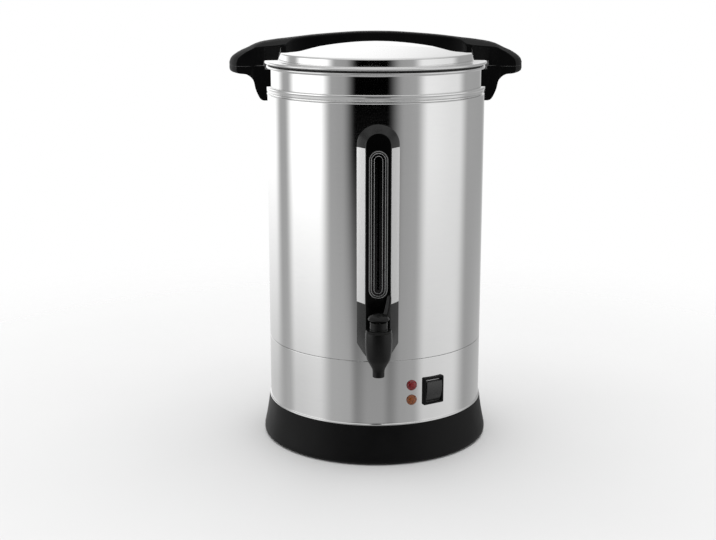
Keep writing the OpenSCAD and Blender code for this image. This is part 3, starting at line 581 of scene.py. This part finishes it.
LEVELS = [(397.8, 125.15), (404.7, 125.15), (404.9, 125.8), (413.5, 125.8), (413.7, 121.15), (424, 121.15), (432.5, 121.15),
          (432.7, 127.65), (436.8, 127.65)]
UNDER = smooth([(124.5, 397.8), (127.2, 397.8), (129.6, 398.8), (131.8, 401.4), (134.6, 407.6), (136.2, 412.6), (137.5, 419.4),
                (139.2, 422.8), (141.8, 425.9), (146, 427.8), (152, 428.4), (159, 428.7), (163.6, 429.3), (166.3, 430.9), (167, 433.2)], 3)
GRIP_HALF = [(110, 24), (126, 24.5), (132, 26), (138, 29.5), (144, 34), (168, 34)]


def grip_point(u, v, w):
    level, radius = LEVELS[round(w * (len(LEVELS) - 1))]
    f = (level - 397.8) / 39.0
    xl, zl = along(UNDER, u)
    xu = 122 + (167 - 122) * (xl - 124.5) / (167 - 124.5)
    x = xl + (xu - xl) * f
    y = table(GRIP_HALF, x) * (2 * v - 1)
    wall = math.sqrt(radius * radius - y * y)
    if u == 0:
        x = wall
    else:
        # the front and back edges of the tip follow the ear's curve
        x = max(x, wall + 0.6)
        start = 144
        if x > start:
            x = start + (x - start) * (107 + math.sqrt(3600 - y * y) - start) / (167 - start)
    return x, y, zl + (436.8 - zl) * f


def grip_weight(u, v, w):
    if u == 0.0:
        return 0
    if u == 1.0:
        return 0.35
    if w == 1.0:
        return 0.2
    if w == 0.0:
        return 0.75 if u < 0.7 else max(0.3, 0.75 - (u - 0.7) * 1.5)
    return 0


for side, name in ((1, "side_handle_right"), (-1, "side_handle_left")):
    grip = block(name + "_moulded", lambda u, v, w: (lambda p: (side * p[0], p[1], p[2]))(grip_point(u, v, w)),
                 26, 8, len(LEVELS) - 1, "handle", 2.2, 4, grip_weight)
    place(grip, "urn", "plastic_black", name)
    handle_pieces.append(grip)

# as in the photograph, the black handles leave no dark reflection in the polished steel beside them
for piece in handle_pieces + [nodes["lid_screws"], nodes["handle_screws"]]:
    piece.visible_glossy = False

# ---------------------------------------------------------------- sight gauge

def wall_y(x):
    return -math.sqrt((RO + 0.05) ** 2 - x * x)


def arch(half, foot, low, corner, n=14):
    """The housing's outline from the front: (x, z) points, from the left foot round by the right"""
    pts = [(-foot + 2 * foot * k / n, low) for k in range(n)]
    pts += [(foot + (half - foot) * k / 3, low + (corner - low) * k / 3) for k in range(3)]
    pts += [(half, corner + (361.3 - corner) * k / 10) for k in range(10)]
    pts += [(half * math.cos(PI * k / 32), 361.3 + half * math.sin(PI * k / 32)) for k in range(33)]
    pts += [(-half, 361.3 - (361.3 - corner) * k / 10) for k in range(1, 10)]
    pts += [(-half - (foot - half) * k / 3, corner - (corner - low) * k / 3) for k in range(3)]
    return pts


def window(half, low=205, high=346, n=14):
    """A long outline with round ends, point for point like the housing's"""
    pts = [(-half * math.cos(PI * k / n), low - half * math.sin(PI * k / n)) for k in range(n)]
    pts += [(half, low + (high - low) * k / 13) for k in range(13)]
    pts += [(half * math.cos(PI * k / 32), high + half * math.sin(PI * k / 32)) for k in range(33)]
    pts += [(-half, high - (high - low) * k / 13) for k in range(1, 13)]
    return pts


def flat(outline, y):
    return [(x, y, z) for x, z in outline]


back, front = arch(22.9, 16.7, 130, 141), arch(13.6, 13.2, 130, 131)


def sloped(t):
    """The outline a fraction t of the way from the wall to the front face"""
    out = []
    for (xb, zb), (xf, zf) in zip(back, front):
        lo, hi = 0.0, 0.5
        for _ in range(30):
            m = (lo + hi) / 2
            x, y = xb + (xf - xb) * m, -122.88 - 14.12 * m
            lo, hi = (m, hi) if x * x + y * y < (RO + 0.05) ** 2 else (lo, m)
        f = lo + (1 - lo) * t
        out.append((xb + (xf - xb) * f, -122.88 - 14.12 * f, zb + (zf - zb) * f))
    return out


def shrunk(d):
    return arch(13.6 - d, 13.2 - d, 130 + d, 131 + d)


housing = stack("gauge_housing_moulded", [
    sloped(0.0), sloped(0.03), sloped(0.5), sloped(0.92), sloped(0.965),
    flat(shrunk(0.02), GY + 0.22), flat(shrunk(0.25), GY + 0.04), flat(shrunk(0.5), GY), flat(shrunk(0.8), GY),
    flat(window(11.0), GY), flat(window(10.75), GY), flat(window(10.5), GY + 0.05), flat(window(10.4), GY + 0.25),
    flat(window(10.4), GY + 0.8), flat(window(7.8), GY + 0.8), flat(window(7.65), GY + 0.9), flat(window(7.65), GY + 1.3),
    flat(window(4.5), GY + 1.3), flat(window(4.4), GY + 1.4), flat(window(4.4), GY + 1.9),
    flat(window(9.8, 150, 350), GY + 1.9), [(x, wall_y(x), z) for x, z in window(9.8, 150, 350)]],
    "gauge_black", "joined", bands=("gauge_face", ((7, 19),)))
place(housing, "urn", "plastic_black", "gauge_housing")

for side, name in ((1, "gauge_trim_right"), (-1, "gauge_trim_left")):
    def trim_point(u, v, w, side=side):
        slope = math.hypot(9.3, 14.12)
        nx, ny = -14.12 / slope, 9.3 / slope
        d = -0.4 + 1.3 * v
        x0, y0 = 13.6 + 9.3 * 0.03 + nx * d, GY + 14.12 * 0.03 + ny * d
        length = 0.97 * slope - 0.15 - (0.0 if v == 0 else 1.1)
        return side * (x0 + 9.3 / slope * length * u), y0 + 14.12 / slope * length * u, 188.6 + 170.1 * w
    trim = block(name + "_strip", trim_point, 1, 1, 1, "aluminium", 0.3, 3, lambda u, v, w: 1.0 if v == 0.0 else 0.0)
    place(trim, "urn", "satin_aluminium", name)

# the clear window: a moulded plate with raised lips one inside the other
lens_loops = [flat(window(h), GY + y) for h, y in (
    (10.2, 0.75), (10.2, 0.1), (10.1, -0.12), (9.85, -0.22), (9.5, -0.22), (9.25, -0.1), (9.15, 0.15), (9.1, 0.35),
    (7.9, 0.35), (7.8, 0.15), (7.6, 0.06), (7.4, 0.06), (7.2, 0.15), (7.1, 0.38),
    (4.7, 0.38), (4.6, 0.25), (4.4, 0.18), (4.2, 0.25), (4.1, 0.42), (1.0, 0.42), (0.9, 0.42))]
lens_loops += [flat(window(0.9), GY + 0.75)]
lens_piece = stack("gauge_window", lens_loops, "smoked", "caps", 40,
                   ("lip", ((1, 7), (8, 13), (14, 18))))
place(lens_piece, "urn", "clear_plastic", "gauge_lens")

# ---------------------------------------------------------------- tap

OUTSIDE = smooth([(6.5, 121.0), (6.9, 123.6), (8.2, 126.4), (10.2, 130), (12.3, 133.8), (13.4, 137.7), (14.1, 142.6),
                  (14.5, 149), (14.7, 155.3), (14.5, 163.0)], 4)
barrel = lathe("tap_barrel", rounded(
    [(4.5, 118), (4.5, 114.9, 0.4), (6.5, 114.9, 0.5)] + OUTSIDE + [(14.15, 165.6, 0.7), (10, 165.6, 0.5)]
    + [(10, 150), (10, 141.2, 1.5), (5, 137.5, 1.5), (4.5, 134, 2), (4.5, 118)]), "tap_black", 96, (0, TAP_Y))
shank = moved(lathe("tap_shank", rounded(
    [(5, 110), (5, 104.2, 0.3), (8, 104.2, 0.5), (8, 120), (8, 137.8), (12.5, 137.8, 0.3), (12.5, 140.4, 0.8), (8, 140.4, 1.5),
     (8, 151.5), (5, 151.5), (5, 130), (5, 110)]), "tap_black", 96), Matrix.Translation((0, 0, 0.150)) @ FORWARD)
place(joined(barrel, shank), "urn", "plastic_black", "tap_body")

bonnet = lathe("tap_neck", rounded([
    (3.06, 174), (3.06, 176.5, 0.2), (9.4, 176.5, 0.7), (9.4, 172), (9.4, 167.2, 0.6), (13.4, 167.2, 0.5), (14.0, 166.2, 0.4),
    (14.0, 165.65, 0.1), (9.95, 165.65, 0.1), (9.95, 156, 0.1), (7.2, 156, 0.1), (7.2, 172, 0.4), (3.06, 172, 0.1),
    (3.06, 174)]), "tap_black", 96, (0, TAP_Y))
place(bonnet, "urn", "plastic_black", "tap_bonnet")

cap = lathe("tap_cap", rounded(
    [(0, 185.2)] + smooth([(1.5, 185.15), (5, 184.6), (8.6, 183.0), (10.7, 181.0), (11.5, 179.9)], 4)
    + [(11.55, 179.0, 0.5), (10.9, 178.5, 0.3), (7.4, 177.3), (6.8, 176.9, 0.2), (6.6, 179), (6.6, 181.6, 0.8), (3, 183.2, 1),
       (0, 183.2)]), "tap_black", 96, (0, TAP_Y))
FRONT_EDGE = smooth([(6.8, 181.4), (9, 187.0), (10.4, 194), (11.7, 201.0), (12.5, 203.7)], 4)
BACK_EDGE = smooth([(10.9, 179.6), (12.4, 184.0), (13.6, 192), (14.6, 200), (14.6, 203.4)], 4)
LEAN = math.radians(30)


def paddle_point(u, v, w):
    f, b = along(FRONT_EDGE, u), along(BACK_EDGE, u)
    r, z = f[0] + (b[0] - f[0]) * w, f[1] + (b[1] - f[1]) * w
    t = (2 * v - 1) * (4.1 - 1.6 * u * u)
    return r * math.cos(LEAN) - t * math.sin(LEAN), TAP_Y + r * math.sin(LEAN) + t * math.cos(LEAN), z


paddle = block("tap_paddle", paddle_point, 12, 2, 2, "tap_black", 1.2, 4,
               lambda u, v, w: 0.0 if u == 0.0 else 0.9 if u == 1.0 else 1.0)
place(cap, "lever", "plastic_black", "tap_lever")
place(paddle, "lever", "plastic_black", "tap_lever")

# the return spring, which in the tap shortens towards the bonnet as the valve lifts; here it is built at one length
def turn_of_spring(i, wire=0.6, radius=5.2, low=152.6, rise=18.4, steps=144):
    a = math.radians(15 * i)
    out = []
    for k in range(8):
        b = 2 * PI * k / 8
        r = radius + wire * math.cos(b)
        out.append((r * math.cos(a), TAP_Y + r * math.sin(a), low + rise * i / steps + wire * math.sin(b)))
    return out


spring = stack("tap_spring_wound", [turn_of_spring(i) for i in range(145)], "zinc")
place(spring, "urn", "zinc_steel", "tap_spring")
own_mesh(spring)

# ---------------------------------------------------------------- lamps and switch

for name, z, colour in (("red_lamp", 90.5, "red"), ("amber_lamp", 73.3, "amber")):
    lamp = lathe(name + "_turned", rounded(
        [(0, -15), (4.6, -15, 0.3), (5, -14.4), (5, -0.1), (6, -0.1, 0.1), (6, 0.9, 0.35), (5.5, 1.35, 0.3)]
        + smooth([(5.35, 1.5), (4.75, 2.35), (3.7, 2.95), (1.9, 3.3), (0, 3.4)], 4)), colour, 64)
    blades = [box("blade", (s * 2.4 - 0.4, -1.4, -21), (s * 2.4 + 0.4, 1.4, -14.9), colour) for s in (-1, 1)]
    moved(joined(lamp, *blades), at_azimuth(17.9) @ Matrix.Translation((0, -RO * MM, z * MM)) @ FORWARD)
    place(lamp, "urn", "lamp_red" if colour == "red" else "lamp_amber", name)


def oblong(hw, hh, r, y, n=5):
    """A rectangle with round corners, seen from the front"""
    out = []
    for cx, cz, start in ((hw - r, hh - r, 0), (r - hw, hh - r, 90), (r - hw, r - hh, 180), (hw - r, r - hh, 270)):
        out += [(cx + r * math.cos(math.radians(start + 90 * k / n)), y, cz + r * math.sin(math.radians(start + 90 * k / n)))
                for k in range(n + 1)]
    return out


SWITCH = at_azimuth(30.2) @ Matrix.Translation((0, -RO * MM, 81.3 * MM))
frame_piece = stack("switch_frame", [oblong(*p) for p in (
    (10.65, 13.2, 0.6, 13), (10.65, 13.2, 0.6, -1.9), (10.72, 13.27, 0.65, -2.3), (10.95, 13.5, 0.8, -2.55), (11.2, 13.75, 0.9, -2.6),
    (11.5, 14.05, 1.0, -2.6), (12.2, 14.7, 1.0, -2.6), (12.5, 15.0, 1.2, -2.6), (12.85, 15.35, 1.4, -2.5),
    (13.2, 15.7, 1.5, -2.1), (13.4, 15.9, 1.6, -1.5), (13.4, 15.9, 1.6, -1.2), (13.4, 15.9, 1.6, 0.7), (11.5, 13.7, 0.6, 0.7),
    (11.5, 13.7, 0.6, 19))], "black")
tabs = [box("tab", (x - 0.4, 18.9, -3.15), (x + 0.4, 27, 3.15), "black") for x in (-6, 0, 6)]
moved(joined(frame_piece, *tabs), SWITCH)
place(frame_piece, "urn", "plastic_black", "switch_housing")


def rocker_point(u, v, w):
    x, z = -10.2 + 20.4 * u, -12.1 + 24.2 * v
    t = z / 12.1
    out = 6.75 + 1.85 * (1 - t * t)
    inner = -3 if abs(z) < 5 else -3 + 4.5 * (abs(z) - 5) / 7.1
    return x, -(out + (inner - out) * w), z


rocker = block("switch_key", rocker_point, 2, 16, 1, "key", 0.7, 4, lambda u, v, w: 1.0 if w == 0.0 else 0.0)
pivot = moved(lathe("pivot", [(0, -11.1), (1.5, -11.1), (1.5, 11.1), (0, 11.1)], "key", 24), Matrix.Rotation(PI / 2, 4, "Y"))
for piece in (rocker, pivot):
    moved(piece, SWITCH @ Matrix.Translation((0, 5 * MM, 0)) @ Matrix.Rotation(math.radians(8), 4, "X"))
    place(piece, "rocker", "gloss_black", "switch_rocker")

# ---------------------------------------------------------------- floor, light and camera

# brightness of the room round the urn: degrees to the right of the front
LEVEL = [
    (-180, 1.1), (-134, 1.3), (-118, 0.42), (-111, 0.42), (-96, 1.45), (-63, 1.45), (-48, 0.40), (-37, 0.37),
    (-22, 0.0), (11, 0.0), (30, 0.38), (41, 0.41), (56, 0.98), (96, 0.88), (113, 0.41), (150, 0.38), (172, 0.7), (180, 1.1),
]
# the same a little below the horizon, where the pale floor evens it out
BELOW = [
    (-180, 0.65), (-140, 0.64), (-116, 0.43), (-108, 0.46), (-95, 0.70), (-64, 0.78), (-47, 0.46), (-30, 0.44),
    (-20, 0.25), (-8, 0.34), (6, 0.34), (15, 0.24), (27, 0.37), (40, 0.40), (54, 0.72), (90, 0.78), (115, 0.38),
    (150, 0.50), (180, 0.65),
]


def world_light():
    w = bpy.data.worlds.new("studio")
    bpy.context.scene.world = w
    w.use_nodes = True
    n, l = w.node_tree.nodes, w.node_tree.links
    n.clear()
    out = n.new("ShaderNodeOutputWorld")
    tc = n.new("ShaderNodeTexCoord")
    sep = n.new("ShaderNodeSeparateXYZ")
    l.new(tc.outputs["Generated"], sep.inputs["Vector"])
    neg = add(n, "ShaderNodeMath", operation="MULTIPLY")
    neg.inputs[1].default_value = -1.0
    l.new(sep.outputs["Y"], neg.inputs[0])
    at = add(n, "ShaderNodeMath", operation="ARCTAN2")
    l.new(sep.outputs["X"], at.inputs[0])
    l.new(neg.outputs[0], at.inputs[1])
    turn = add(n, "ShaderNodeMapRange")
    turn.inputs["From Min"].default_value = -PI
    turn.inputs["From Max"].default_value = PI
    l.new(at.outputs[0], turn.inputs["Value"])

    def ring(stops):
        ramp = n.new("ShaderNodeValToRGB")
        ramp.color_ramp.interpolation = "EASE"
        els = ramp.color_ramp.elements
        while len(els) < len(stops):
            els.new(0.5)
        for e, (deg, v) in zip(els, stops):
            e.position = (deg + 180) / 360
            e.color = (v, v, v, 1)
        l.new(turn.outputs["Result"], ramp.inputs["Fac"])
        return ramp.outputs["Color"]

    def blend(first, second, z0, z1):
        """Goes from the first colour at height z0 to the second at z1, where z is the direction's upward part"""
        f = n.new("ShaderNodeMapRange")
        f.inputs["From Min"].default_value = z0
        f.inputs["From Max"].default_value = z1
        l.new(sep.outputs["Z"], f.inputs["Value"])
        mix = add(n, "ShaderNodeMix", data_type="RGBA")
        l.new(f.outputs["Result"], mix.inputs["Factor"])
        for socket, value in (("A", first), ("B", second)):
            if isinstance(value, float):
                mix.inputs[socket].default_value = (value, value, value, 1)
            else:
                l.new(value, mix.inputs[socket])
        return mix.outputs["Result"]

    low = blend(0.42, ring(BELOW), -0.60, -0.31)
    mid = blend(low, ring(LEVEL), -0.31, -0.14)
    colour = blend(blend(mid, 0.42, 0.20, 0.34), 0.85, 0.45, 0.85)
    bg = n.new("ShaderNodeBackground")
    l.new(colour, bg.inputs["Color"])
    bg.inputs["Strength"].default_value = 1.0
    white = n.new("ShaderNodeBackground")
    white.inputs["Color"].default_value = (1, 1, 1, 1)
    white.inputs["Strength"].default_value = 1.0
    path = n.new("ShaderNodeLightPath")
    mixs = n.new("ShaderNodeMixShader")
    l.new(path.outputs["Is Camera Ray"], mixs.inputs["Fac"])
    l.new(bg.outputs[0], mixs.inputs[1])
    l.new(white.outputs[0], mixs.inputs[2])
    l.new(mixs.outputs[0], out.inputs["Surface"])


world_light()


def floor():
    """A pale round table that fades into the white backdrop"""
    bm = bmesh.new()
    rings = [[bm.verts.new((0, 0, 0))]]
    for r in (0.3, 0.6, 1.0, 1.6):
        rings.append([bm.verts.new((r * math.cos(2 * PI * k / 48), r * math.sin(2 * PI * k / 48), 0)) for k in range(48)])
    for a, b in zip(rings, rings[1:]):
        for k in range(48):
            k2 = (k + 1) % 48
            bm.faces.new((a[0], b[k], b[k2]) if len(a) == 1 else (a[k], b[k], b[k2], a[k2]))
    me = bpy.data.meshes.new("floor")
    bm.to_mesh(me)
    bm.free()
    o = bpy.data.objects.new("floor", me)
    bpy.context.scene.collection.objects.link(o)
    m, n, l, b = new_material("floor_pale")
    f = noise(n, l, 3, 2)
    l.new(shades(n, l, f, (0.86, 0.86, 0.86), (0.88, 0.88, 0.88)), b.inputs["Base Color"])
    b.inputs["Roughness"].default_value = 0.7
    b.inputs["Specular IOR Level"].default_value = 0.2
    tc = n.new("ShaderNodeTexCoord")
    size = add(n, "ShaderNodeVectorMath", operation="LENGTH")
    l.new(tc.outputs["Object"], size.inputs[0])
    fade = n.new("ShaderNodeMapRange")
    fade.interpolation_type = "SMOOTHSTEP"
    fade.inputs["From Min"].default_value = 0.25
    fade.inputs["From Max"].default_value = 1.0
    fade.inputs["To Min"].default_value = 1.0
    fade.inputs["To Max"].default_value = 0.0
    l.new(size.outputs["Value"], fade.inputs["Value"])
    l.new(fade.outputs["Result"], b.inputs["Alpha"])
    me.materials.append(m)
    o.visible_glossy = False
    return o


floor()


def area(name, place_at, look_at, size, power, glossy=False):
    d = bpy.data.lights.new(name, "AREA")
    d.shape = "RECTANGLE"
    d.size, d.size_y = size
    d.energy = power
    o = bpy.data.objects.new(name, d)
    bpy.context.scene.collection.objects.link(o)
    o.location = place_at
    o.rotation_mode = "QUATERNION"
    o.rotation_quaternion = (Vector(look_at) - Vector(place_at)).to_track_quat("-Z", "Y")
    o.visible_glossy = glossy
    return o


area("top_light", (0, 0.2, 2.6), (0, 0, 0), (3.0, 3.0), 38)

cam_data = bpy.data.cameras.new("camera")
cam_data.sensor_width = 36.0
cam_data.lens = 64.67
cam = bpy.data.objects.new("camera", cam_data)
bpy.context.scene.collection.objects.link(cam)
turned = math.radians(1.5)     # the urn's front is turned a little to the right of the camera
reach, high, pitch, yaw = 1.4873, 0.5468, math.radians(13.324), math.radians(0.773)
cam.location = (-reach * math.sin(turned), -reach * math.cos(turned), high)
heading = yaw - turned
look = Vector((-math.sin(heading) * math.cos(pitch), math.cos(heading) * math.cos(pitch), -math.sin(pitch)))
cam.rotation_mode = "QUATERNION"
cam.rotation_quaternion = look.to_track_quat("-Z", "Y")
cam_data.clip_start, cam_data.clip_end = 0.01, 100
bpy.context.scene.camera = cam
bpy.context.scene.view_settings.view_transform = "Standard"
bpy.context.scene.view_settings.look = "None"
